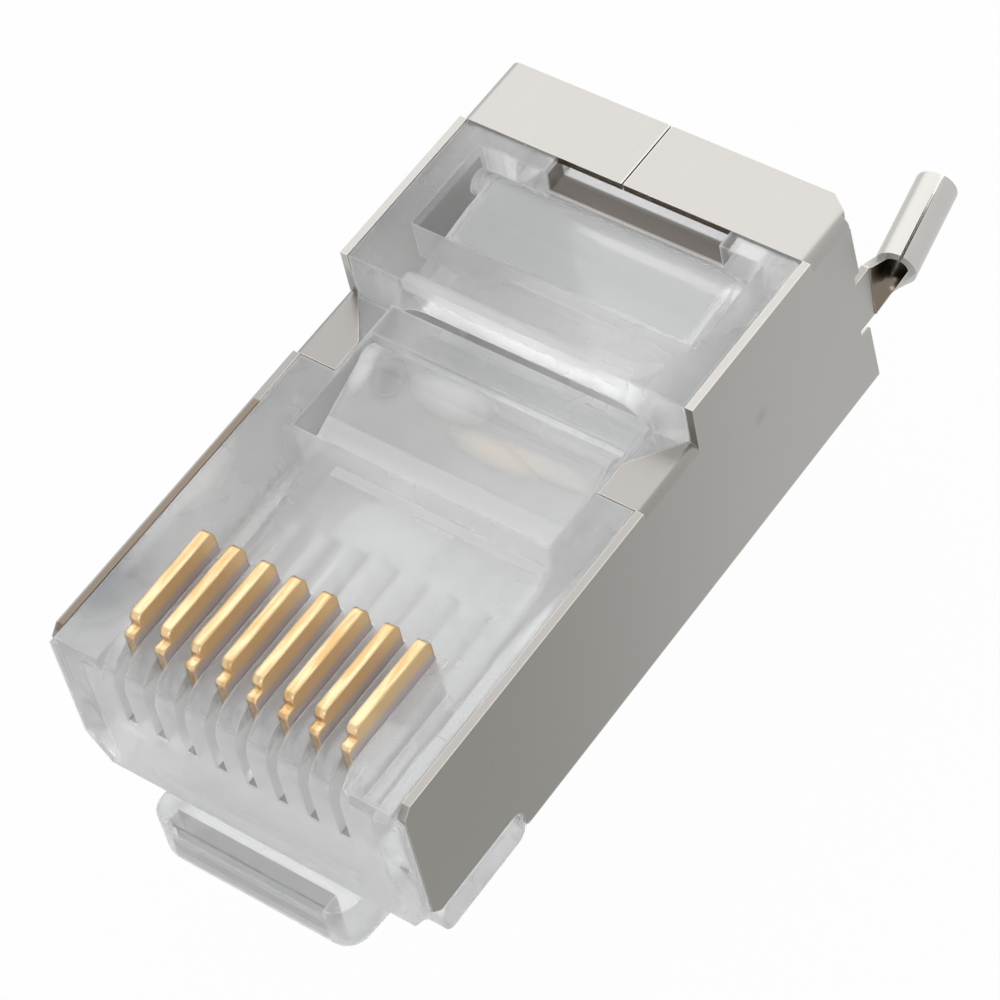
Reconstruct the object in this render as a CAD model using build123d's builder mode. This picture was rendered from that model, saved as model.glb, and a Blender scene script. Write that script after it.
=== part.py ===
from build123d import *
from math import cos, degrees, radians, sin
import os

os.makedirs("parts", exist_ok=True)

# Shielded 8-way modular plug as supplied, before crimping, in millimetres.
# The origin is the middle of the flat nose face. X runs across the plug, +Y towards
# the cable end and +Z towards the contact side, so the latch hangs below the body.

# Body envelope
body_width = 11.68  # over the side walls of the shell
plug_length = 21.65  # nose face to the rear edge of the shell
body_height = 6.05  # underside to the low top over the contacts
rear_rise = 1.45  # the rear section stands this much higher
rear_start = 13.5  # where the high rear section begins
nose_drop = 2.6  # low top down to the origin
nose_foot = 0.45  # underside to the foot of the flat nose face
nose_undercut = 0.5  # run of the slope below the nose face
nose_corner = 0.6  # bevel along the lower corners of the moulding
nose_rim = 0.12  # full-width rim in front of the shell
nose_rim_drop = 0.4  # the rim stays this far below the low top at its sides
nose_bevel_width = 0.65  # lead-in bevel of the rim's lower corners
nose_bevel_height = 1.05

# Sheet metal
sheet = 0.25
sheet_gap = 0.03  # between sheet and moulding
bend_radius = 0.3  # outside of a fold
band_radius = 0.45  # outside of the band's two upper folds
band_length = 2.45  # closed band at the cable end
seam_gap = 0.05
seam_offset = -0.3  # away from the tail
tab_length = 2.6  # folded tabs, back to the step
tab_land = 1.1  # full-width part of a tab
tab_reach = 1.45  # how far a tab folds in over the top
plate_start = 4.25  # front edge of the bottom plate
latch_cutout_width = 7.2
latch_cutout_end = 9.6
latch_cutout_corner = 0.8
wall_corner = 0.3  # bevels at the front corners of the walls
wall_slant = 0.58  # the +X wall's rear edge leans forward this far
fold_cut = 0.79  # width of the slanting cut across its fold

# Side rails of the moulding, seen through notches in the shell
rail_start = 0.4
rail_end = 4.05
rail_height = 1.1
rail_corner = 0.4
rail_gap = 0.05

# Contacts and their comb
contact_count = 8
contact_pitch = 1.02
contact_thickness = 0.32
contact_side_gap = 0.02
contact_end_gap = 0.05
contact_stand = 0.85  # crest above the low top before crimping
contact_front = 1.2  # front of the crest
contact_length = 3.25  # crest, front to back
contact_height = 2.5  # crest to the web between the tines
ledge_run = 0.35  # ledge in front of the crest
ledge_drop = 0.43
tine_length = 0.6
tine_width = 0.8
crest_round = 0.25
slot_depth = 2.6  # slot floor below the low top
comb_margin = 0.55  # comb zone beyond the outer contacts
comb_round = 1.1  # rounded front of the comb ribs

# Wire channels and cavities
channel_radius = 0.525
channel_wall = 0.9  # left in front of the channels
channel_end = 7.6
cavity_width = 8.6
cavity_floor = 1.0  # moulding left under the cable cavity
cavity_roof = 0.35  # cable cavity above the low top
cavity_corner = 1.2
funnel_roof = 0.9  # rear end of the funnel below the low top
funnel_corner = 0.5
entry_chamfer = 0.3
rear_setback = 0.6  # the moulding ends inside the band

# Conductor clamp, in its window in the low top
clamp_window_start = 8.8
clamp_window_end = 12.45
clamp_window_width = 8.5
clamp_knuckle_radius = 0.5
clamp_nose_sink = 1.0
clamp_nose_land = 0.45
clamp_nose_height = 0.8
window_gap = 0.15
knuckle_gap = 0.05

# Jacket clamp, in its window in the high top
jacket_window_setback = 0.6  # ends this far in front of the band
jacket_window_length = 3.3
jacket_window_width = 9.4
jacket_clamp_width = 8.2
jacket_knuckle_radius = 0.4
jacket_clamp_sink = 0.7  # its top below the high top
jacket_clamp_depth = 0.95
jacket_ridge = 0.15
jacket_front_gap = 0.4
rim_notch_width = 5.8
rim_notch_offset = 0.4  # towards the +X wall
rim_notch_length = 1.5
rim_notch_depth = 0.6

# Latch lever
latch_width = 6.7
latch_finger_width = 3.25
latch_length = 14.4
latch_shoulder = 8.36
latch_reach = 0.85  # the root stands this far in front of the nose face
latch_root_depth = 1.85  # underside of the body to the foot of the root
latch_fall = 1.6  # the finger's foot below the root's foot
latch_thickness = 1.05
latch_root_length = 1.9
latch_hinge_y = 1.25
latch_hinge_radius = 0.45
latch_gap = 0.05
latch_lip_gap = 0.1  # nose face to the top of the root in front of it
latch_corner = 0.9
latch_tip_round = 1.0
latch_hinge_relief = 0.3  # the root falls away behind the hinge
latch_side_round = 0.7
latch_pocket_width = 5.4
latch_pocket_start = 0.25  # in front of the nose face
latch_pocket_depth = 1.3  # below the top of the root
latch_skin = 0.3  # wall in front of the pocket
latch_skin_drop = 0.35  # its top below the top of the root

# Drain wire tail, on the +X wall only
neck_height = 2.0
neck_drop = 2.3  # middle of the neck below the low top
neck_length = 0.1
relief_depth = 0.62
relief_width = 0.3
roll_length = 0.75
barrel_length = 3.15
barrel_radius = 0.63  # outside
barrel_seam = 8.0  # degrees left open
barrel_turn = 68.0  # degrees from +X up to the seam
barrel_offset = 0.31  # start of the barrel axis outside the wall's outer face
barrel_rise = 0.35  # barrel axis above the middle of the neck
barrel_lean = 10.5  # degrees, the barrel leans in behind the plug
roll_start_wrap = 10.0  # degrees of curl that the neck already has

# Levels and places that follow from the sizes above
cut = 1.0  # how far a cutting shape runs past a face
near = 0.01  # edges are picked within this distance of a face
top_z = nose_drop
underside_z = top_z - body_height
rear_top_z = top_z + rear_rise
nose_foot_z = underside_z + nose_foot
shell_front = nose_rim + sheet_gap
band_start = plug_length - band_length
tab_start = rear_start - tab_length
inside_width = body_width - 2 * (sheet + sheet_gap)
skin = sheet + sheet_gap
moulding_rear = plug_length - rear_setback
slot_floor_z = top_z - slot_depth
channel_z = slot_floor_z - channel_radius
contact_rear = contact_front + contact_length
slot_rear = contact_rear + contact_end_gap
slot_width = contact_thickness + 2 * contact_side_gap
comb_width = contact_count * contact_pitch + 2 * comb_margin - contact_pitch
clamp_pivot_y = clamp_window_end - knuckle_gap - clamp_knuckle_radius
clamp_pivot_z = top_z - clamp_knuckle_radius
jacket_top_z = rear_top_z - jacket_clamp_sink
jacket_window_end = band_start - jacket_window_setback
jacket_window_start = jacket_window_end - jacket_window_length
jacket_pivot_y = jacket_window_end - knuckle_gap - jacket_knuckle_radius
jacket_pivot_z = jacket_top_z - jacket_knuckle_radius
cavity_floor_z = underside_z + cavity_floor
cavity_roof_z = top_z + cavity_roof
neck_z = top_z - neck_drop


def box_yz(y_from, y_to, z_from, z_to, width, mode):
    """A block centred across the plug, given by its limits along Y and Z."""
    with BuildSketch(Plane.YZ) as side:
        with Locations(((y_from + y_to) / 2, (z_from + z_to) / 2)):
            Rectangle(y_to - y_from, z_to - z_from)
    extrude(side.sketch, amount=width / 2, both=True, mode=mode)


def section_at(y):
    """A plane across the plug at y, facing the nose, with its axes along +X and +Z."""
    return Plane.XZ.offset(-y)


# Moulded housing
with BuildPart() as housing:
    with BuildSketch(Plane.YZ):
        with BuildLine():
            Polyline(
                (0, top_z),
                (rear_start, top_z),
                (rear_start, rear_top_z),
                (band_start, rear_top_z),
                (band_start, rear_top_z - skin),
                (moulding_rear, rear_top_z - skin),
                (moulding_rear, underside_z + skin),
                (plate_start, underside_z + skin),
                (plate_start, underside_z),
                (nose_undercut, underside_z),
                (0, nose_foot_z),
                close=True,
            )
        make_face()
    extrude(amount=inside_width / 2, both=True)
    chamfer(housing.edges().filter_by(Axis.Y).group_by(Axis.Z)[-2], length=sheet)
    with BuildSketch(section_at(0)):
        with Locations((0, (underside_z + rear_top_z) / 2)):
            outline = Rectangle(inside_width, rear_top_z - underside_z)
        chamfer(outline.vertices().group_by(Axis.Y)[0], length=nose_corner)
    extrude(amount=-plug_length, mode=Mode.INTERSECT)

    # rim round the nose, with its lower corners bevelled back to the rails
    with BuildSketch(section_at(0)):
        with BuildLine():
            Polyline(
                (-body_width / 2, nose_foot_z),
                (-body_width / 2, top_z - nose_rim_drop),
                (-inside_width / 2, top_z - sheet),
                (inside_width / 2, top_z - sheet),
                (body_width / 2, top_z - nose_rim_drop),
                (body_width / 2, nose_foot_z),
                close=True,
            )
        make_face()
    extrude(amount=-nose_rim)
    bevel_top_z = nose_foot_z + nose_bevel_height
    bevel_foot_x = body_width / 2 - nose_bevel_width * (1 + nose_foot / nose_bevel_height)
    with BuildSketch(section_at(0)):
        with BuildLine():
            Polyline(
                (body_width / 2, bevel_top_z),
                (bevel_foot_x, underside_z),
                (body_width / 2, underside_z),
                close=True,
            )
        make_face()
        mirror(about=Plane.YZ)
    extrude(amount=-rail_start, mode=Mode.SUBTRACT)

    # rails that fill the notches in the shell
    with BuildSketch(Plane.YZ):
        with Locations(((rail_start + rail_end) / 2, underside_z + rail_height / 2)):
            RectangleRounded(rail_end - rail_start, rail_height, rail_corner)
    extrude(amount=body_width / 2, both=True)

    # seats for the folded tabs
    with BuildSketch(section_at(tab_start - sheet_gap)):
        with BuildLine():
            Polyline(
                (body_width / 2 - tab_reach - sheet_gap, top_z + cut),
                (body_width / 2 - tab_reach - sheet_gap, top_z - skin),
                (body_width / 2 - bend_radius, top_z - skin),
                (inside_width / 2, top_z - bend_radius),
                (inside_width / 2 + cut, top_z - bend_radius),
                (inside_width / 2 + cut, top_z + cut),
                close=True,
            )
        make_face()
        mirror(about=Plane.YZ)
    extrude(amount=-(tab_length + sheet_gap), mode=Mode.SUBTRACT)

    # comb: rounded rib fronts, then one open slot for each contact
    with BuildSketch(Plane.YZ):
        with BuildLine():
            Line((comb_round, top_z), (-cut, top_z))
            Line((-cut, top_z), (-cut, top_z - comb_round))
            Line((-cut, top_z - comb_round), (0, top_z - comb_round))
            RadiusArc((0, top_z - comb_round), (comb_round, top_z), comb_round)
        make_face()
    extrude(amount=comb_width / 2, both=True, mode=Mode.SUBTRACT)
    with BuildSketch(Plane.XY.offset(slot_floor_z)):
        with Locations((0, slot_rear / 2 - cut / 2)):
            with GridLocations(contact_pitch, 1, contact_count, 1):
                Rectangle(slot_width, slot_rear + cut)
    extrude(amount=slot_depth + cut, mode=Mode.SUBTRACT)

    # wire channels, touching side by side, and the slots down into them
    with BuildSketch(section_at(channel_wall)):
        with Locations((0, channel_z)):
            with GridLocations(contact_pitch, 1, contact_count, 1):
                Circle(channel_radius)
    extrude(amount=-(channel_end - channel_wall), mode=Mode.SUBTRACT)
    with BuildSketch(Plane.XY.offset(channel_z)):
        with Locations((0, (channel_wall + slot_rear) / 2)):
            with GridLocations(contact_pitch, 1, contact_count, 1):
                Rectangle(slot_width, slot_rear - channel_wall)
    extrude(amount=channel_radius + slot_depth, mode=Mode.SUBTRACT)

    # funnel from the cable cavity down to the channels
    channels_width = (contact_count - 1) * contact_pitch + 2 * channel_radius
    with BuildSketch(section_at(channel_end - channel_radius)):
        with Locations((0, channel_z)):
            RectangleRounded(channels_width, 2 * channel_radius, funnel_corner)
    with BuildSketch(section_at(rear_start)):
        with Locations((0, (cavity_floor_z + top_z - funnel_roof) / 2)):
            RectangleRounded(cavity_width, top_z - funnel_roof - cavity_floor_z, funnel_corner)
    loft(mode=Mode.SUBTRACT)
    with BuildSketch(section_at(rear_start)):
        with Locations((0, (cavity_floor_z + cavity_roof_z) / 2)):
            RectangleRounded(cavity_width, cavity_roof_z - cavity_floor_z, cavity_corner)
    extrude(amount=-(moulding_rear - rear_start), mode=Mode.SUBTRACT)
    mouth = housing.faces().sort_by(Axis.Y)[-1].inner_wires()[0].edges()
    chamfer(mouth, length=entry_chamfer)

    # windows for the two clamps and the notch in the rim behind them
    box_yz(
        clamp_window_start,
        clamp_window_end,
        channel_z,
        top_z + cut,
        clamp_window_width,
        Mode.SUBTRACT,
    )
    box_yz(
        jacket_window_start,
        jacket_window_end,
        top_z - funnel_roof,
        rear_top_z + cut,
        jacket_window_width,
        Mode.SUBTRACT,
    )
    with BuildSketch(Plane.XY.offset(rear_top_z - skin - rim_notch_depth)):
        with Locations((rim_notch_offset, jacket_window_end + (rim_notch_length - cut) / 2)):
            Rectangle(rim_notch_width, rim_notch_length + cut)
    extrude(amount=skin + rim_notch_depth + cut, mode=Mode.SUBTRACT)

    # hollow in the underside that the latch turns in
    with BuildSketch(Plane.YZ):
        with Locations((latch_hinge_y, underside_z)):
            Circle(latch_hinge_radius + latch_gap)
    extrude(amount=latch_width / 2 + latch_gap, both=True, mode=Mode.SUBTRACT)
housing.part.label = "housing"


# Latch lever
latch_foot_z = underside_z - latch_root_depth
finger_foot_z = latch_foot_z - latch_fall
root_top_z = underside_z - latch_gap
lip_top_z = nose_foot_z - latch_lip_gap
with BuildPart() as latch_lever:
    with BuildSketch(Plane.YZ) as lever_side:
        with BuildLine():
            Polyline(
                (-latch_reach, lip_top_z),
                (0, lip_top_z),
                (nose_undercut - latch_gap, root_top_z),
                (latch_hinge_y, root_top_z),
                (latch_root_length, root_top_z - latch_hinge_relief),
                (latch_root_length, latch_foot_z + latch_thickness),
                (latch_length, finger_foot_z + latch_thickness),
                (latch_length, finger_foot_z),
                (-latch_reach, latch_foot_z),
                close=True,
            )
        make_face()
        front_foot = lever_side.vertices().group_by(Axis.X)[0].sort_by(Axis.Y)[0]
        fillet(front_foot, radius=latch_corner)
        with Locations((latch_hinge_y, underside_z)):
            Circle(latch_hinge_radius)
    extrude(amount=latch_width / 2, both=True)
    # shoulders: the finger is narrower behind them
    with BuildSketch(Plane.XY.offset(finger_foot_z - cut)) as lever_plan:
        with Locations((0, (latch_shoulder - latch_reach) / 2)):
            Rectangle(latch_width, latch_shoulder + latch_reach)
        with Locations((0, (latch_shoulder + latch_length) / 2)):
            Rectangle(latch_finger_width, latch_length - latch_shoulder)
        tip = lever_plan.vertices().group_by(Axis.Y)[-1]
        fillet(tip, radius=latch_tip_round)
    extrude(amount=lip_top_z - finger_foot_z + 2 * cut, mode=Mode.INTERSECT)
    # rounded lower corners of the wide part, from the front down and back to the shoulders
    side_edges = latch_lever.edges().filter_by(lambda e: abs(e.center().X) > latch_width / 2 - near)
    low_edges = side_edges.filter_by(lambda e: e.center().Z < latch_foot_z)
    front_edges = side_edges.filter_by(lambda e: e.center().Y < near - latch_reach)
    fillet(low_edges + front_edges, radius=latch_side_round)
    # pocket in the root, behind a front wall that is lower than its sides
    pocket_front = latch_skin - latch_reach
    box_yz(
        pocket_front,
        -latch_pocket_start,
        lip_top_z - latch_pocket_depth,
        lip_top_z + cut,
        latch_pocket_width,
        Mode.SUBTRACT,
    )
    box_yz(
        -latch_reach - cut,
        pocket_front,
        lip_top_z - latch_skin_drop,
        lip_top_z + cut,
        latch_pocket_width,
        Mode.SUBTRACT,
    )
latch_lever.part.label = "latch_lever"


# Conductor clamp: a wedge that turns down on a knuckle at its rear
clamp_nose_y = clamp_window_start + window_gap
clamp_nose_top_z = top_z - clamp_nose_sink
with BuildPart() as conductor_clamp:
    with BuildSketch(Plane.YZ):
        with BuildLine():
            Polyline(
                (clamp_pivot_y, top_z),
                (clamp_nose_y + clamp_nose_land, clamp_nose_top_z),
                (clamp_nose_y, clamp_nose_top_z),
                (clamp_nose_y, clamp_nose_top_z - clamp_nose_height),
                (clamp_nose_y + clamp_nose_land, clamp_nose_top_z - clamp_nose_height),
                (clamp_pivot_y, clamp_pivot_z - clamp_knuckle_radius),
                close=True,
            )
        make_face()
        with Locations((clamp_pivot_y, clamp_pivot_z)):
            Circle(clamp_knuckle_radius)
    extrude(amount=clamp_window_width / 2 - window_gap, both=True)
conductor_clamp.part.label = "conductor_clamp"


# Jacket clamp: a bar that turns down on a knuckle at its rear
jacket_nose_y = jacket_window_start + jacket_front_gap
with BuildPart() as jacket_clamp:
    with BuildSketch(Plane.YZ):
        with BuildLine():
            Polyline(
                (jacket_pivot_y, jacket_top_z),
                ((jacket_pivot_y + jacket_nose_y) / 2, jacket_top_z),
                (jacket_nose_y, jacket_top_z - jacket_ridge),
                (jacket_nose_y, jacket_top_z - jacket_clamp_depth),
                (jacket_pivot_y, jacket_pivot_z - jacket_knuckle_radius),
                close=True,
            )
        make_face()
    extrude(amount=jacket_clamp_width / 2, both=True)
    with BuildSketch(Plane.YZ):
        with Locations((jacket_pivot_y, jacket_pivot_z)):
            Circle(jacket_knuckle_radius)
    extrude(amount=jacket_window_width / 2 - knuckle_gap, both=True)
jacket_clamp.part.label = "jacket_clamp"


# Contacts: stepped blades with two piercing tines, one for each slot
crest_z = top_z + contact_stand
web_z = crest_z - contact_height
contacts = []
for i in range(contact_count):
    contact_x = contact_pitch * (i - (contact_count - 1) / 2)
    with BuildPart() as contact:
        with BuildSketch(Plane.YZ.offset(contact_x - contact_thickness / 2)) as blade:
            with BuildLine():
                Polyline(
                    (contact_front, crest_z),
                    (contact_rear, crest_z),
                    (contact_rear, web_z),
                    (contact_rear - tine_width / 2, web_z - tine_length),
                    (contact_rear - tine_width, web_z),
                    (contact_front + tine_width, web_z),
                    (contact_front + tine_width / 2, web_z - tine_length),
                    (contact_front, web_z),
                    (contact_front - ledge_run, web_z),
                    (contact_front - ledge_run, crest_z - ledge_drop),
                    (contact_front, crest_z - ledge_drop),
                    close=True,
                )
            make_face()
            crest_corners = blade.vertices().group_by(Axis.Y)[-1]
            fillet(crest_corners, radius=crest_round)
            ledge_corner = blade.vertices().group_by(Axis.X)[0].sort_by(Axis.Y)[-1]
            fillet(ledge_corner, radius=crest_round / 2)
        extrude(amount=contact_thickness)
    contact.part.label = f"contact_{i + 1}"
    contacts.append(contact.part)


def tube_section(roof_z, roof_radius=bend_radius):
    """Section of the folded sheet with rounded bends, closed all round."""
    height = roof_z - underside_z
    with Locations((0, underside_z + height / 2)):
        RectangleRounded(body_width, height, bend_radius)
    with Locations((0, underside_z + height / 2 - cut / 2)):
        RectangleRounded(body_width, height + cut, roof_radius, mode=Mode.INTERSECT)
    offset(amount=-sheet, mode=Mode.SUBTRACT)


def open_section(roof_z):
    """The same section with its top left off, as two walls and a floor."""
    tube_section(roof_z + 2 * bend_radius)
    with Locations((0, roof_z + bend_radius)):
        Rectangle(body_width, 2 * bend_radius, mode=Mode.SUBTRACT)


def strip_section(wrap, middle, radius):
    """Cross-section of the tail's strip, rolled through wrap degrees about (0, 0)."""
    outer = radius + sheet / 2
    inner = radius - sheet / 2

    def spot(r, angle):
        return (r * cos(radians(angle)), r * sin(radians(angle)))

    first = middle - wrap / 2
    last = middle + wrap / 2
    with BuildLine() as edge:
        ThreePointArc(spot(outer, first), spot(outer, middle), spot(outer, last))
        Line(spot(outer, last), spot(inner, last))
        ThreePointArc(spot(inner, last), spot(inner, middle), spot(inner, first))
        Line(spot(inner, first), spot(outer, first))
    make_face(edge.edges())


# Folded shell with its drain wire tail
roll_start = plug_length + neck_length
barrel_mid_radius = barrel_radius - sheet / 2
with BuildPart() as shield_shell:
    with BuildSketch(section_at(shell_front)):
        open_section(top_z)
    extrude(amount=-(tab_start - shell_front))
    with BuildSketch(section_at(tab_start)):
        tube_section(top_z)
    extrude(amount=-tab_length)
    with BuildSketch(section_at(rear_start)):
        open_section(rear_top_z)
    extrude(amount=-(band_start - rear_start))
    with BuildSketch(section_at(band_start)):
        tube_section(rear_top_z, band_radius)
        with Locations((seam_offset, rear_top_z)):
            Rectangle(seam_gap, 2 * bend_radius, mode=Mode.SUBTRACT)
    extrude(amount=-band_length)

    # between the folded tabs the top is open
    tab_edge_x = body_width / 2 - tab_reach
    fold_x = body_width / 2 - bend_radius
    with BuildSketch(Plane.XY.offset(top_z - sheet)):
        with BuildLine():
            Polyline(
                (-tab_edge_x, tab_start),
                (tab_edge_x, tab_start),
                (tab_edge_x, tab_start + tab_land),
                (fold_x, rear_start),
                (-fold_x, rear_start),
                (-tab_edge_x, tab_start + tab_land),
                close=True,
            )
        make_face()
    extrude(amount=sheet, mode=Mode.SUBTRACT)

    # notches for the rails, and the cut-out for the latch
    with BuildSketch(Plane.YZ):
        with Locations(((rail_start + rail_end) / 2, underside_z + rail_height / 2)):
            RectangleRounded(
                rail_end - rail_start + 2 * rail_gap,
                rail_height + 2 * rail_gap,
                rail_corner + rail_gap,
            )
        with Locations(((rail_start + rail_end) / 4, underside_z + rail_height / 2)):
            Rectangle((rail_start + rail_end) / 2, rail_height + 2 * rail_gap)
    extrude(amount=body_width, both=True, mode=Mode.SUBTRACT)
    box_yz(-cut, plate_start, underside_z - cut, underside_z + bend_radius, body_width, Mode.SUBTRACT)
    with BuildSketch(Plane.XY.offset(underside_z)) as cutout:
        with Locations((0, latch_cutout_end / 2)):
            Rectangle(latch_cutout_width, latch_cutout_end)
        fillet(cutout.vertices().group_by(Axis.Y)[-1], radius=latch_cutout_corner)
    extrude(amount=sheet, mode=Mode.SUBTRACT)

    # bevelled front corners of the walls
    notch_z = underside_z + rail_height + rail_gap
    with BuildSketch(Plane.YZ):
        for level, away in ((top_z, 1), (notch_z, -1)):
            with BuildLine() as corner:
                Polyline(
                    (shell_front - cut, level - away * wall_corner),
                    (shell_front, level - away * wall_corner),
                    (shell_front + wall_corner, level),
                    (shell_front + wall_corner, level + away * near),
                    (shell_front - cut, level + away * near),
                    close=True,
                )
            make_face(corner.edges())
    extrude(amount=body_width, both=True, mode=Mode.SUBTRACT)

    # the +X wall ends at a slant, and so does its fold with the band
    wall_top_end = plug_length - wall_slant
    with BuildSketch(Plane.YZ.offset(body_width / 2 - sheet)):
        with BuildLine():
            Polyline(
                (plug_length, underside_z),
                (wall_top_end, rear_top_z),
                (wall_top_end, rear_top_z + cut),
                (plug_length + cut, rear_top_z + cut),
                (plug_length + cut, underside_z),
                close=True,
            )
        make_face()
    extrude(amount=sheet + cut, mode=Mode.SUBTRACT)
    with BuildSketch(Plane.XY.offset(rear_top_z - band_radius)):
        with BuildLine():
            Polyline(
                (body_width / 2 - fold_cut, plug_length),
                (body_width / 2, wall_top_end),
                (body_width / 2 + cut, wall_top_end),
                (body_width / 2 + cut, plug_length + cut),
                (body_width / 2 - fold_cut, plug_length + cut),
                close=True,
            )
        make_face()
    extrude(amount=band_radius + cut, mode=Mode.SUBTRACT)

    # neck of the tail, with a relief cut above and below it
    with BuildSketch(Plane.YZ.offset(body_width / 2)):
        for side in (-1, 1):
            with Locations((plug_length, neck_z + side * (neck_height + relief_width) / 2)):
                Rectangle(2 * relief_depth, relief_width)
    extrude(amount=-2 * sheet, mode=Mode.SUBTRACT)
    neck_start = plug_length - relief_depth
    neck_end = roll_start + near
    with BuildSketch(Plane.YZ.offset(body_width / 2)):
        with Locations(((neck_start + neck_end) / 2, neck_z)):
            Rectangle(neck_end - neck_start, neck_height)
    extrude(amount=-sheet)

    # the neck's strip curls up, and the wider strip of the barrel goes on from it
    neck_wrap = degrees(neck_height / barrel_mid_radius)
    for curl in (0, 1):
        wrap = roll_start_wrap + (neck_wrap - roll_start_wrap) * curl
        radius = neck_height / radians(wrap)
        middle = -barrel_turn * curl
        lean = radians(barrel_lean * curl)
        mid_x = body_width / 2 - sheet / 2 + (
            barrel_offset + sheet / 2 - barrel_mid_radius * cos(radians(barrel_turn))
        ) * curl
        mid_z = neck_z + (barrel_rise - barrel_mid_radius * sin(radians(barrel_turn))) * curl
        plane = Plane(
            origin=(
                mid_x + radius * cos(radians(middle)),
                roll_start + roll_length * curl,
                mid_z - radius * sin(radians(middle)),
            ),
            x_dir=(-cos(lean), -sin(lean), 0),
            z_dir=(-sin(lean), cos(lean), 0),
        )
        with BuildSketch(plane):
            strip_section(wrap, middle, radius)
    loft(ruled=True)
    with BuildSketch(plane) as barrel:
        strip_section(360 - barrel_seam, middle, barrel_mid_radius)
    extrude(barrel.sketch, amount=barrel_length)
shield_shell.part.label = "shield_shell"

for piece in (
    housing.part,
    latch_lever.part,
    conductor_clamp.part,
    jacket_clamp.part,
    shield_shell.part,
    *contacts,
):
    export_step(piece, f"parts/{piece.label}.step")
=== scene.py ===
import bpy
import numpy as np
from mathutils import Matrix, Vector

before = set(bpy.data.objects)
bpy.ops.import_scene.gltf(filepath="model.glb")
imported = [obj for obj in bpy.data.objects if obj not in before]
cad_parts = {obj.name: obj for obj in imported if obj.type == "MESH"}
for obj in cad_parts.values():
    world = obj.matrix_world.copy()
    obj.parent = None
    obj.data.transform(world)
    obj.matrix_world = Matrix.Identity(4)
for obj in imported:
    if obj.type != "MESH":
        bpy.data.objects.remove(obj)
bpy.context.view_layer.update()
mm = 0.001

# the photograph's camera, fitted to the plug's corners
camera = {
    "place": (49.726, -35.757, 84.790),  # mm
    "right": (0.80527533, 0.57364354, -0.1498824),
    "down": (0.38397358, -0.69719321, -0.6053808),
    "forward": (-0.45176977, 0.42994734, -0.78169646),
    "lens": 143.78,
    "sensor": 36.0,
}


def makeCamera():
    data = bpy.data.cameras.new("plugCamera")
    data.lens = camera["lens"]
    data.sensor_width = camera["sensor"]
    data.clip_start = 0.005
    data.clip_end = 5.0
    cam = bpy.data.objects.new("plugCamera", data)
    bpy.context.scene.collection.objects.link(cam)
    across, down, ahead = (np.array(camera[key]) for key in ("right", "down", "forward"))
    axes = np.array([across, -down, -ahead]).T
    turn = Matrix(axes.tolist()).to_4x4()
    cam.matrix_world = Matrix.Translation(Vector(camera["place"]) * mm) @ turn
    bpy.context.scene.camera = cam


makeCamera()
print("camera made")


# floor, background and lamps
stageSet = {
    "floorZ": -7.0,  # mm, just under the latch finger's foot
    "floorSize": 2.0,  # m
    "floorGrey": 0.80,
    "whiteShare": 0.97,  # how much of the floor that the camera sees is plain white
    "worldGrey": 0.80,
    "worldStrength": 0.62,
    "lamps": [
        # name, place mm, aims at mm, size mm, watts
        ("softBox", (-115, 118, 200), (0, 10, 0), 440, 0.34),
        ("noseLamp", (60, -190, 110), (0, 5, 0), 120, 0.10),
    ],
}


# a new node with its sockets set by name, and anything else set on the node itself
def addNode(tree, kind, **values):
    node = tree.nodes.new(kind)
    for key, value in values.items():
        if key in node.inputs:
            node.inputs[key].default_value = value
        else:
            setattr(node, key, value)
    return node


# one sum: each side is a socket or a number
def maths(tree, operation, first, second):
    node = addNode(tree, "ShaderNodeMath", operation=operation)
    for place, side in enumerate((first, second)):
        if isinstance(side, (int, float)):
            node.inputs[place].default_value = side
        else:
            tree.links.new(side, node.inputs[place])
    return node.outputs[0]


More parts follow.
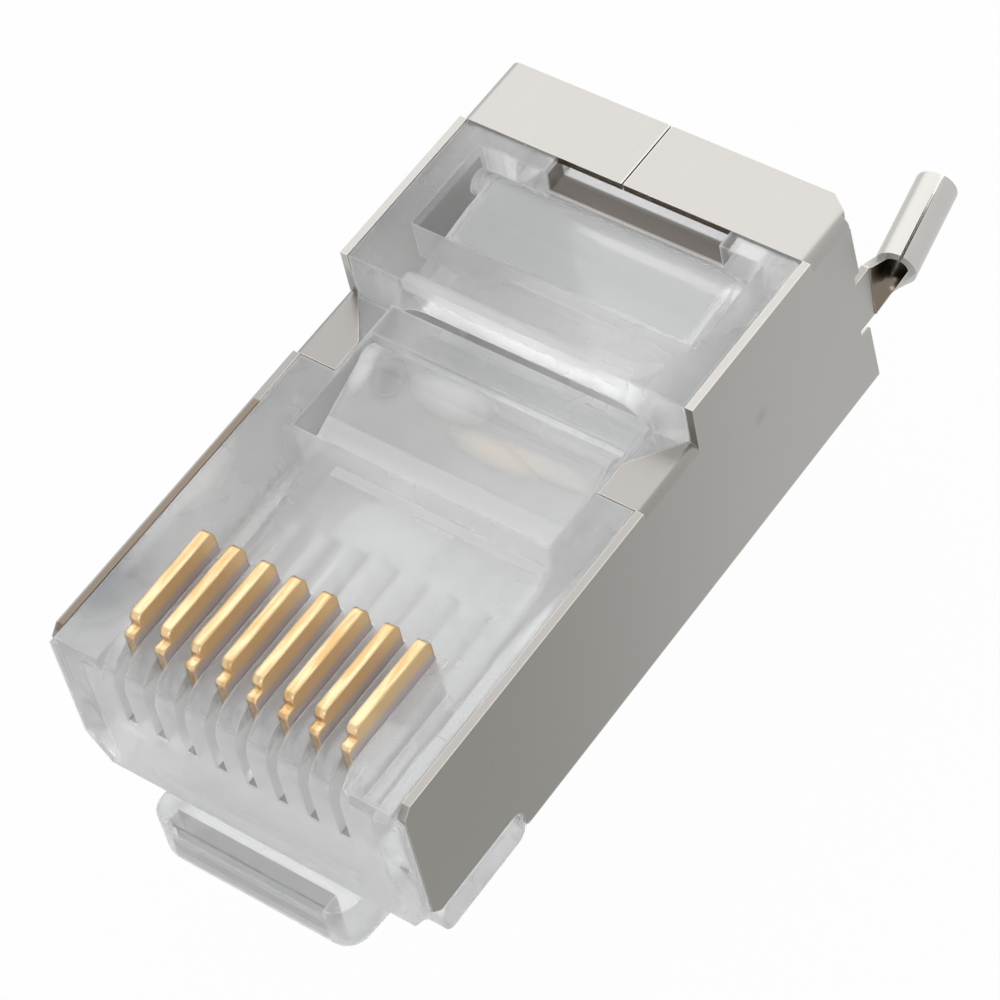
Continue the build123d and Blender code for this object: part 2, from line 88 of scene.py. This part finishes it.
def makeStage():
    half = stageSet["floorSize"] / 2
    z = stageSet["floorZ"] * mm
    mesh = bpy.data.meshes.new("floor")
    corners = [(-half, -half, z), (half, -half, z), (half, half, z), (-half, half, z)]
    mesh.from_pydata(corners, [], [(0, 1, 2, 3)])
    floor = bpy.data.objects.new("floor", mesh)
    bpy.context.scene.collection.objects.link(floor)
    material = bpy.data.materials.new("paleFloor")
    material.use_nodes = True
    tree = material.node_tree
    tree.nodes.clear()
    out = tree.nodes.new("ShaderNodeOutputMaterial")
    grey = stageSet["floorGrey"]
    diffuse = addNode(tree, "ShaderNodeBsdfDiffuse", Color=(grey, grey, grey, 1))
    white = addNode(tree, "ShaderNodeEmission", Color=(1, 1, 1, 1), Strength=1.0)
    path = tree.nodes.new("ShaderNodeLightPath")
    mix = tree.nodes.new("ShaderNodeMixShader")
    # the camera sees white with a little of the real floor in it, so the shadow stays
    seen = maths(tree, "MULTIPLY", path.outputs["Is Camera Ray"], stageSet["whiteShare"])
    mirrored = maths(tree, "MAXIMUM", path.outputs["Is Glossy Ray"], path.outputs["Is Transmission Ray"])
    tree.links.new(maths(tree, "MAXIMUM", seen, mirrored), mix.inputs[0])
    tree.links.new(diffuse.outputs[0], mix.inputs[1])
    tree.links.new(white.outputs[0], mix.inputs[2])
    tree.links.new(mix.outputs[0], out.inputs[0])
    mesh.materials.append(material)

    world = bpy.data.worlds.new("studio")
    world.use_nodes = True
    tree = world.node_tree
    lit = tree.nodes["Background"]
    grey = stageSet["worldGrey"]
    lit.inputs[0].default_value = (grey, grey, grey, 1)
    lit.inputs[1].default_value = stageSet["worldStrength"]
    seen = addNode(tree, "ShaderNodeBackground", Color=(1, 1, 1, 1), Strength=1.0)
    path = tree.nodes.new("ShaderNodeLightPath")
    mix = tree.nodes.new("ShaderNodeMixShader")
    mirrored = maths(tree, "MAXIMUM", path.outputs["Is Glossy Ray"], path.outputs["Is Transmission Ray"])
    tree.links.new(maths(tree, "MAXIMUM", mirrored, path.outputs["Is Camera Ray"]), mix.inputs[0])
    tree.links.new(lit.outputs[0], mix.inputs[1])
    tree.links.new(seen.outputs[0], mix.inputs[2])
    tree.links.new(mix.outputs[0], tree.nodes["World Output"].inputs[0])
    bpy.context.scene.world = world
    for name, place, aim, size, watts in stageSet["lamps"]:
        data = bpy.data.lights.new(name, "AREA")
        data.shape = "DISK"
        data.size = size * mm
        data.energy = watts
        lamp = bpy.data.objects.new(name, data)
        bpy.context.scene.collection.objects.link(lamp)
        lamp.location = Vector(place) * mm
        lamp.rotation_mode = "QUATERNION"
        lamp.rotation_quaternion = (Vector(aim) - Vector(place)).to_track_quat("-Z", "Y")


makeStage()
bpy.context.scene.view_settings.view_transform = "Standard"
print("stage made")


def newMaterial(name):
    material = bpy.data.materials.new(name)
    material.use_nodes = True
    tree = material.node_tree
    return material, tree, tree.nodes["Principled BSDF"]


# Object coordinates in mm, whole and split into x, y and z
def placeOn(tree):
    spot = tree.nodes.new("ShaderNodeTexCoord").outputs["Object"]
    scaled = addNode(tree, "ShaderNodeVectorMath", operation="SCALE", Scale=1 / mm)
    tree.links.new(spot, scaled.inputs[0])
    split = tree.nodes.new("ShaderNodeSeparateXYZ")
    tree.links.new(scaled.outputs[0], split.inputs[0])
    return scaled.outputs[0], split.outputs


# noise of so many lumps per mm, between 0 and 1
def noiseOn(tree, spot, scale, detail, stretch=None):
    if stretch:
        mapping = addNode(tree, "ShaderNodeMapping")
        mapping.inputs["Scale"].default_value = stretch
        tree.links.new(spot, mapping.inputs["Vector"])
        spot = mapping.outputs[0]
    noise = addNode(tree, "ShaderNodeTexNoise", Scale=scale, Detail=detail)
    tree.links.new(spot, noise.inputs["Vector"])
    return noise.outputs["Fac"]


# start at low and below, end at high and above, a smooth line between
def ramp(tree, source, low, high, start=0, end=1):
    node = addNode(tree, "ShaderNodeMapRange", interpolation_type="SMOOTHSTEP")
    for key, value in (("From Min", low), ("From Max", high), ("To Min", start), ("To Max", end)):
        node.inputs[key].default_value = value
    tree.links.new(source, node.inputs["Value"])
    return node.outputs["Result"]


# 1 inside the box in mm and 0 outside it, with edges that fade over soft mm
def inBox(tree, spot, box, soft):
    low, high = np.array(box[0::2]), np.array(box[1::2])
    away = addNode(tree, "ShaderNodeVectorMath", operation="SUBTRACT")
    away.inputs[1].default_value = (low + high) / 2
    tree.links.new(spot, away.inputs[0])
    apart = addNode(tree, "ShaderNodeVectorMath", operation="ABSOLUTE")
    tree.links.new(away.outputs[0], apart.inputs[0])
    fall = addNode(tree, "ShaderNodeMapRange", data_type="FLOAT_VECTOR", interpolation_type="SMOOTHSTEP")
    tree.links.new(apart.outputs[0], fall.inputs["Vector"])
    half = (high - low) / 2
    for place, value in zip((7, 8, 9, 10), (half, half + soft, (1, 1, 1), (0, 0, 0))):
        fall.inputs[place].default_value = value
    parts = tree.nodes.new("ShaderNodeSeparateXYZ")
    tree.links.new(fall.outputs["Vector"], parts.inputs[0])
    across = maths(tree, "MULTIPLY", parts.outputs[0], parts.outputs[1])
    return maths(tree, "MULTIPLY", across, parts.outputs[2])


# 1 at the middle of an egg shape and 0 at its skin, places and radii in mm
def inEgg(tree, spot, middle, radii):
    away = addNode(tree, "ShaderNodeVectorMath", operation="SUBTRACT")
    away.inputs[1].default_value = middle
    tree.links.new(spot, away.inputs[0])
    scaled = addNode(tree, "ShaderNodeVectorMath", operation="DIVIDE")
    scaled.inputs[1].default_value = radii
    tree.links.new(away.outputs[0], scaled.inputs[0])
    length = addNode(tree, "ShaderNodeVectorMath", operation="LENGTH")
    tree.links.new(scaled.outputs[0], length.inputs[0])
    return ramp(tree, length.outputs["Value"], 0.1, 1.0, 1, 0)


# share 0 gives the first side and 1 the second, each a socket or a colour
def blendColour(tree, share, first, second):
    node = addNode(tree, "ShaderNodeMix", data_type="RGBA")
    tree.links.new(share, node.inputs[0])
    for place, side in ((6, first), (7, second)):
        if isinstance(side, tuple):
            node.inputs[place].default_value = (*side, 1)
        else:
            tree.links.new(side, node.inputs[place])
    return node.outputs[2]


def blendShader(tree, share, first, second):
    node = tree.nodes.new("ShaderNodeMixShader")
    if isinstance(share, float):
        node.inputs[0].default_value = share
    else:
        tree.links.new(share, node.inputs[0])
    tree.links.new(first, node.inputs[1])
    tree.links.new(second, node.inputs[2])
    return node.outputs[0]


# the normal as it would be with edges rounded by radius mm
def roundedNormal(tree, radius, samples):
    return addNode(tree, "ShaderNodeBevel", samples=samples, Radius=radius * mm).outputs[0]


# 1 away from an edge and less near it: how far a rounded normal turns from the true one
def edgeMask(tree, rounded):
    true = tree.nodes.new("ShaderNodeNewGeometry").outputs["True Normal"]
    dot = addNode(tree, "ShaderNodeVectorMath", operation="DOT_PRODUCT")
    tree.links.new(rounded, dot.inputs[0])
    tree.links.new(true, dot.inputs[1])
    return dot.outputs["Value"]


# milky polycarbonate: a white haze over a clear body, whitened along its edges as a painted highlight
milkyPlastic = {
    "clearTint": (0.97, 0.975, 0.98),
    "straight": 0.25,  # share of the clear part that isn't bent
    "passes": 0.85,  # share of a lamp's light that goes straight through
    "light": (0.97, 0.97, 0.965),
    "dark": (0.93, 0.93, 0.93),
    "rounding": 0.15,  # mm, how far edges look rounded, and how wide their painted highlight is
    "edge": (0.66, 0.95),  # the rounding's cosine, from full painted edge highlight to none
    "cloudScale": 0.22,  # lumps per mm
    "cloud": (0.35, 0.65),
    "grainScale": 3.0,  # lumps per mm
    "grain": (0.3, 0.7),
    "haze": (0.20, 0.28),  # share of white
    "edgeHazeAndHighlight": 0.60,
    "hazeThrough": 0.35,  # share of the haze that glows from behind
    "roughness": (0.05, 0.13),
    "ior": 1.42,
}

# reflections and shadows inside each clear piece, placed for the photograph's view: they
# stay where they are when the light or the view moves. A shade is a box in mm, softness, colour
# and strength, a glow is an egg's middle and radii in mm, colour and strength
clearPieces = {
    "housing": {
        "shades": [
            ((-2.5, 3.3, 18.72, 19.3, 3.0, 3.78), 0.12, (0.20, 0.16, 0.12), 0.80),  # painted shade under the band
            # painted shade on the left wall of the rear window
            ((-5.2, -4.75, 15.6, 18.4, 1.0, 3.6), 0.15, (0.22, 0.22, 0.21), 0.72),
            # painted highlight on the bar behind the channels
            ((-2.3, 4.6, 7.95, 8.2, 0.4, 2.7), 0.12, (1.0, 1.0, 1.0), 0.55),
            ((-3.6, 3.6, 13.3, 13.70, 3.75, 4.1), 0.35, (1.0, 1.0, 1.0), 0.60),  # painted highlight along the edge of the step
            # painted highlight, a line across the nose
            ((-3.4, 3.4, -0.1, 0.05, -2.4, -1.85), 0.25, (1.0, 1.0, 1.0), 0.70),
            ((-4.6, 4.6, -0.1, 0.7, -3.4, 1.9), 0.45, (0.93, 0.93, 0.93), 0.62),  # painted highlight, a whiter nose front
            # painted shade at the ends of the slots
            ((-4.2, 4.2, 0.08, 0.30, -0.03, 0.05), 0.04, (0.20, 0.20, 0.20), 0.60),
        ],
        "glows": [
            ((-5.1, 2.0, 2.5), (1.7, 2.6, 1.8), (0.42, 0.43, 0.45), 0.52),  # painted shade beside the first blade
            ((-5.3, 6.0, 2.6), (1.1, 2.2, 0.8), (1.0, 1.0, 0.99), 0.60),  # painted highlight on the left edge of the low top
            # painted shade on the bar before the rear window
            ((-2.3, 14.9, 4.05), (3.2, 1.3, 1.0), (0.55, 0.55, 0.54), 0.45),
        ],
    },
    "latch_lever": {
        "shades": [
            # painted shade in the pocket of the latch root
            ((-2.72, 2.72, -0.60, -0.2, -5.0, -3.15), 0.04, (0.42, 0.42, 0.41), 0.50),
            # painted shade seen through the front of that pocket
            ((-2.6, 2.6, -0.95, -0.7, -4.45, -3.75), 0.12, (0.45, 0.45, 0.44), 0.35),
        ],
        "glows": [],
    },
    "conductor_clamp": {
        "shades": [
            ((-4.1, 4.1, 9.0, 9.9, 0.7, 2.3), 0.15, (0.97, 0.97, 0.97), 0.60),  # painted highlight on the front lip
            ((-3.9, 3.9, 9.9, 11.6, 1.7, 2.6), 0.40, (1.0, 1.0, 1.0), 0.30),  # painted highlight over the slope
        ],
        "glows": [
            ((-3.0, 11.55, 2.45), (0.9, 1.1, 0.9), (0.50, 0.50, 0.49), 0.55),  # painted shade, a dark corner
            ((-1.0, 11.7, 2.5), (2.3, 1.0, 1.2), (1.0, 1.0, 1.0), 0.75),  # painted highlight, a white patch
            ((-3.85, 11.4, 2.38), (0.5, 1.3, 1.2), (1.0, 1.0, 1.0), 0.95),  # painted highlight, a white wedge
            # painted highlight, the tail of the warm streak
            ((2.3, 11.1, 2.3), (3.6, 0.50, 0.9), (1.0, 0.98, 0.95), 0.80),
            ((1.0, 10.93, 2.22), (2.6, 0.65, 0.9), (1.0, 0.94, 0.85), 0.85),  # painted highlight, a warm streak
        ],
    },
    "jacket_clamp": {
        "shades": [((-3.8, 3.8, 16.0, 18.2, 3.0, 3.5), 0.30, (0.74, 0.75, 0.75), 0.58)],  # painted shade over the top
        "glows": [],
    },
}


def makeMilkyPlastic(piece):
    material, tree, shader = newMaterial("milkyPlastic_" + piece)
    spot, _ = placeOn(tree)
    cloud = noiseOn(tree, spot, milkyPlastic["cloudScale"], 4)
    shader.inputs["Base Color"].default_value = (*milkyPlastic["clearTint"], 1)
    shader.inputs["Transmission Weight"].default_value = 1.0
    shader.inputs["IOR"].default_value = milkyPlastic["ior"]
    rounded = roundedNormal(tree, milkyPlastic["rounding"], 3)
    tree.links.new(rounded, shader.inputs["Normal"])
    grain = noiseOn(tree, spot, milkyPlastic["grainScale"], 5)
    grain = ramp(tree, grain, *milkyPlastic["grain"], *milkyPlastic["roughness"])
    tree.links.new(grain, shader.inputs["Roughness"])
    whiter = ramp(tree, cloud, *milkyPlastic["cloud"])
    white = blendColour(tree, whiter, milkyPlastic["dark"], milkyPlastic["light"])
    straight = addNode(tree, "ShaderNodeBsdfTransparent", Color=(*milkyPlastic["clearTint"], 1))
    clear = blendShader(tree, milkyPlastic["straight"], shader.outputs[0], straight.outputs[0])
    diffuse = tree.nodes.new("ShaderNodeBsdfDiffuse")
    through = tree.nodes.new("ShaderNodeBsdfTranslucent")
    # the edges' painted highlight: more white haze near an edge
    edge = ramp(tree, edgeMask(tree, rounded), *milkyPlastic["edge"], 1, 0)
    cloudHaze = ramp(tree, cloud, *milkyPlastic["cloud"], *milkyPlastic["haze"])
    share = maths(tree, "MAXIMUM", cloudHaze, maths(tree, "MULTIPLY", edge, milkyPlastic["edgeHazeAndHighlight"]))
    # the painted shades and highlights of clearPieces go into the haze's colour and share
    marks = [(inBox(tree, spot, *row[:2]), *row[2:]) for row in clearPieces[piece]["shades"]]
    marks += [(inEgg(tree, spot, *row[:2]), *row[2:]) for row in clearPieces[piece]["glows"]]
    for mask, colour, strength in marks:
        white = blendColour(tree, mask, white, colour)
        share = maths(tree, "MAXIMUM", share, maths(tree, "MULTIPLY", mask, strength))
    tree.links.new(white, diffuse.inputs["Color"])
    tree.links.new(white, through.inputs["Color"])
    haze = blendShader(tree, milkyPlastic["hazeThrough"], diffuse.outputs[0], through.outputs[0])
    mix = blendShader(tree, share, clear, haze)
    path = tree.nodes.new("ShaderNodeLightPath")
    passing = maths(tree, "MULTIPLY", path.outputs["Is Shadow Ray"], milkyPlastic["passes"])
    mix = blendShader(tree, passing, mix, straight.outputs[0])
    tree.links.new(mix, tree.nodes["Material Output"].inputs["Surface"])
    return material


# satin nickel on brass sheet: very fine rolling lines; lit and shaded copies of one tone, with walls in
# painted shade, darker towards the nose, painted highlights on edges and seam, painted reflections on the
# inner faces round the moulding, painted brown shade inside the band and tail
nickelSheet = {
    # painted light and shade: flat tops and the tail lit, tabs and walls shaded, the tail side's tab less
    # so
    "flat": (0.44, 0.427, 0.408),
    "tab": (0.29, 0.28, 0.268),
    "tailSideTab": (0.33, 0.315, 0.30),
    "tail": (0.52, 0.505, 0.485),
    "tailSide": (2.0, 3.5),  # mm, the tab past this x is the tail side's
    "bandHeight": (3.0, 3.7),  # mm, tabs below, band above
    "seam": (-0.36, -0.27, 19.2, 30.0, 3.7, 4.2),  # mm, a painted highlight along the butt seam
    "seamShare": 0.4,
    # the walls' painted shade, deeper at the front
    "rear": (0.365, 0.355, 0.335),
    "front": (0.235, 0.225, 0.205),
    # painted brown shade on the inner faces of the band and tail
    "inside": (0.20, 0.165, 0.13),
    # painted reflections on the inner faces round the moulding, greyer towards the rear
    "innerPaintedLight": (0.88, 0.87, 0.85),
    "rearInnerReflection": (0.76, 0.75, 0.73),
    "rearInnerReflectionFrom": (12.5, 15.0),  # mm along the plug
    "brownFrom": (3.3, 3.6),  # mm, the band's underside, in painted brown shade
    # painted highlight on the edges and along the seam
    "edge": (0.72, 0.70, 0.66),
    "edgeTurn": (0.70, 0.98),  # the rounding's cosine, from full painted highlight to none
    "spread": (2.0, 20.0),  # mm along the wall, from the front's to the rear's painted shade
    "upright": (0.2, 0.95),  # how far a face looks sideways to be a wall in painted shade
    "inward": (-0.25, -0.05),  # mm, an inner face looks at the middle by more than this
    # mm, painted brown shade on the left wall's rim and on the band's edge over the recess
    "brownEdges": [(-5.76, -5.5, -1.0, 9.0, 2.45, 2.7), (-2.6, 3.4, 19.0, 19.22, 3.7, 4.0)],
    "seamSoftness": 0.03,  # mm
    "brownSoftness": 0.04,  # mm
    "mouth": (22.6, 23.1),  # mm, the painted brown shade in the barrel reaches only up to here
    "tailStart": 21.7,
    "barrel": (6.15, 22.5, 0.65, 0.185),  # mm on its axis, and how far it leans per mm
    "edgeRadius": 0.05,  # mm
    # mm, a dimple's painted shade on the wall with the tail: middle, radii, colour
    "dimple": ((5.84, 16.2, 0.86), (0.5, 0.42, 0.42), (0.20, 0.19, 0.175)),
    "dimpleShare": 0.3,
    "grainScale": 9.0,  # lumps per mm
    "grainStretch": (1, 0.05, 1),
    "grain": (0.3, 0.7),
    "shine": (0.99, 1.01),
    "roughness": (0.29, 0.31),
}


def makeNickel():
    material, tree, shader = newMaterial("nickelSheet")
    spot, split = placeOn(tree)
    grain = noiseOn(tree, spot, nickelSheet["grainScale"], 3, nickelSheet["grainStretch"])
    # walls in painted shade, darker towards the nose
    along = ramp(tree, split["Y"], *nickelSheet["spread"])
    wall = blendColour(tree, along, nickelSheet["front"], nickelSheet["rear"])
    facing = tree.nodes.new("ShaderNodeSeparateXYZ")
    tree.links.new(tree.nodes.new("ShaderNodeNewGeometry").outputs["Normal"], facing.inputs[0])
    sideways = maths(tree, "ABSOLUTE", facing.outputs["X"], 0)
    behind = maths(tree, "GREATER_THAN", split["Y"], nickelSheet["tailStart"])
    # tabs in painted shade, lighter on the tail side; the band and tail in painted light
    tailSide = ramp(tree, split["X"], *nickelSheet["tailSide"])
    tab = blendColour(tree, tailSide, nickelSheet["tab"], nickelSheet["tailSideTab"])
    flat = blendColour(tree, ramp(tree, split["Z"], *nickelSheet["bandHeight"]), tab, nickelSheet["flat"])
    flat = blendColour(tree, behind, flat, nickelSheet["tail"])
    # faces that look sideways take the walls' painted shade
    upright = ramp(tree, sideways, *nickelSheet["upright"])
    upright = maths(tree, "MULTIPLY", upright, maths(tree, "SUBTRACT", 1.0, behind))
    # a painted shade for the dimple
    middle, radii, colour = nickelSheet["dimple"]
    dimpleShade = maths(tree, "MULTIPLY", inEgg(tree, spot, middle, radii), nickelSheet["dimpleShare"])
    wall = blendColour(tree, dimpleShade, wall, colour)
    body = blendColour(tree, upright, flat, wall)
    shine = addNode(tree, "ShaderNodeHueSaturation")
    tree.links.new(body, shine.inputs["Color"])
    tree.links.new(ramp(tree, grain, *nickelSheet["grain"], *nickelSheet["shine"]), shine.inputs["Value"])
    # an inner face looks at the middle of the plug, or behind it at the barrel's axis
    atX, atY, atZ, lean = nickelSheet["barrel"]
    run = maths(tree, "MULTIPLY", maths(tree, "SUBTRACT", split["Y"], atY), lean)
    centreX = maths(tree, "MULTIPLY", behind, maths(tree, "SUBTRACT", atX, run))
    outX = maths(tree, "MULTIPLY", maths(tree, "SUBTRACT", split["X"], centreX), facing.outputs["X"])
    upZ = maths(tree, "SUBTRACT", split["Z"], maths(tree, "MULTIPLY", behind, atZ))
    outward = maths(tree, "ADD", outX, maths(tree, "MULTIPLY", upZ, facing.outputs["Z"]))
    inner = ramp(tree, outward, *nickelSheet["inward"], 1, 0)
    # painted brown shade inside the band and in the tail
    brown = maths(tree, "MAXIMUM", behind, ramp(tree, split["Z"], *nickelSheet["brownFrom"]))
    # the inner faces' painted reflection, greyer towards the rear
    greyer = ramp(tree, split["Y"], *nickelSheet["rearInnerReflectionFrom"])
    innerPaintedLight = blendColour(tree, greyer, nickelSheet["innerPaintedLight"], nickelSheet["rearInnerReflection"])
    innerPaintedLight = blendColour(tree, brown, innerPaintedLight, nickelSheet["inside"])
    innerPaintedLight = blendColour(tree, ramp(tree, split["Y"], *nickelSheet["mouth"]), innerPaintedLight, nickelSheet["tail"])
    toned = blendColour(tree, inner, shine.outputs[0], innerPaintedLight)
    # painted highlights on the edges and along the seam
    turned = edgeMask(tree, roundedNormal(tree, nickelSheet["edgeRadius"], 4))
    edge = ramp(tree, turned, *nickelSheet["edgeTurn"], 1, 0)
    seam = inBox(tree, spot, nickelSheet["seam"], nickelSheet["seamSoftness"])
    seam = maths(tree, "MULTIPLY", seam, nickelSheet["seamShare"])
    edge = maths(tree, "MAXIMUM", edge, seam)
    edged = blendColour(tree, edge, toned, nickelSheet["edge"])
    # painted brown shade on the left wall's rim and over the recess
    for box in nickelSheet["brownEdges"]:
        edgeShade = inBox(tree, spot, box, nickelSheet["brownSoftness"])
        edged = blendColour(tree, edgeShade, edged, nickelSheet["inside"])
    tree.links.new(edged, shader.inputs["Base Color"])
    shader.inputs["Metallic"].default_value = 1.0
    rough = ramp(tree, grain, *nickelSheet["grain"], *nickelSheet["roughness"])
    tree.links.new(rough, shader.inputs["Roughness"])
    return material


# blades plated with gold at the crest, plain nickel below: bright crests, flanks greyer by a painted
# reflection and gold near their top
goldBlade = {
    "bright": (0.78, 0.58, 0.35),
    "deep": (0.60, 0.39, 0.18),
    # the flanks' painted reflection, greyer low down and gold near the top
    "flank": (0.66, 0.58, 0.56),
    "flankTop": (0.95, 0.66, 0.33),
    "plain": (0.70, 0.69, 0.67),
    "flankGold": (2.80, 3.06),  # mm, the flank's painted reflection turns gold over this height
    "goldFoot": (1.9, 2.3),  # mm, the plating fades out over this height
    "flankMetal": 0.45,  # the dull flanks mirror less than the crests
    "flankTurn": (0.5, 0.9),  # how far a face looks sideways to be a flank
    "streakScale": 1.6,  # lumps per mm
    "streakStretch": (3, 0.4, 1),
    "streak": (0.35, 0.62),
    "polish": (0.3, 0.7),
    "rounding": 0.13,  # mm
    "roughness": (0.24, 0.13),  # dull streaks first
}


def makeGold():
    material, tree, shader = newMaterial("goldBlade")
    spot, split = placeOn(tree)
    streak = noiseOn(tree, spot, goldBlade["streakScale"], 4, goldBlade["streakStretch"])
    brighter = ramp(tree, streak, *goldBlade["streak"])
    gold = blendColour(tree, brighter, goldBlade["deep"], goldBlade["bright"])
    facing = tree.nodes.new("ShaderNodeSeparateXYZ")
    tree.links.new(tree.nodes.new("ShaderNodeNewGeometry").outputs["True Normal"], facing.inputs[0])
    sideways = maths(tree, "ABSOLUTE", facing.outputs["X"], 0)
    # flanks take the painted reflection, greyer below flankGold
    height = ramp(tree, split["Z"], *goldBlade["flankGold"])
    flank = blendColour(tree, height, goldBlade["flank"], goldBlade["flankTop"])
    sided = blendColour(tree, ramp(tree, sideways, *goldBlade["flankTurn"]), gold, flank)
    plated = ramp(tree, split["Z"], *goldBlade["goldFoot"])
    tree.links.new(blendColour(tree, plated, goldBlade["plain"], sided), shader.inputs["Base Color"])
    tree.links.new(roundedNormal(tree, goldBlade["rounding"], 6), shader.inputs["Normal"])
    metal = ramp(tree, sideways, *goldBlade["flankTurn"], 1, goldBlade["flankMetal"])
    tree.links.new(metal, shader.inputs["Metallic"])
    rough = ramp(tree, streak, *goldBlade["polish"], *goldBlade["roughness"])
    tree.links.new(rough, shader.inputs["Roughness"])
    return material


plasticMaterials = {piece: makeMilkyPlastic(piece) for piece in clearPieces}
nickelMaterial = makeNickel()
goldMaterial = makeGold()
for nodeName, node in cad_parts.items():
    if nodeName.startswith("contact"):
        material = goldMaterial
    elif nodeName == "shield_shell":
        material = nickelMaterial
    else:
        material = plasticMaterials[nodeName]
    node.data.materials.clear()
    node.data.materials.append(material)
print("materials set")
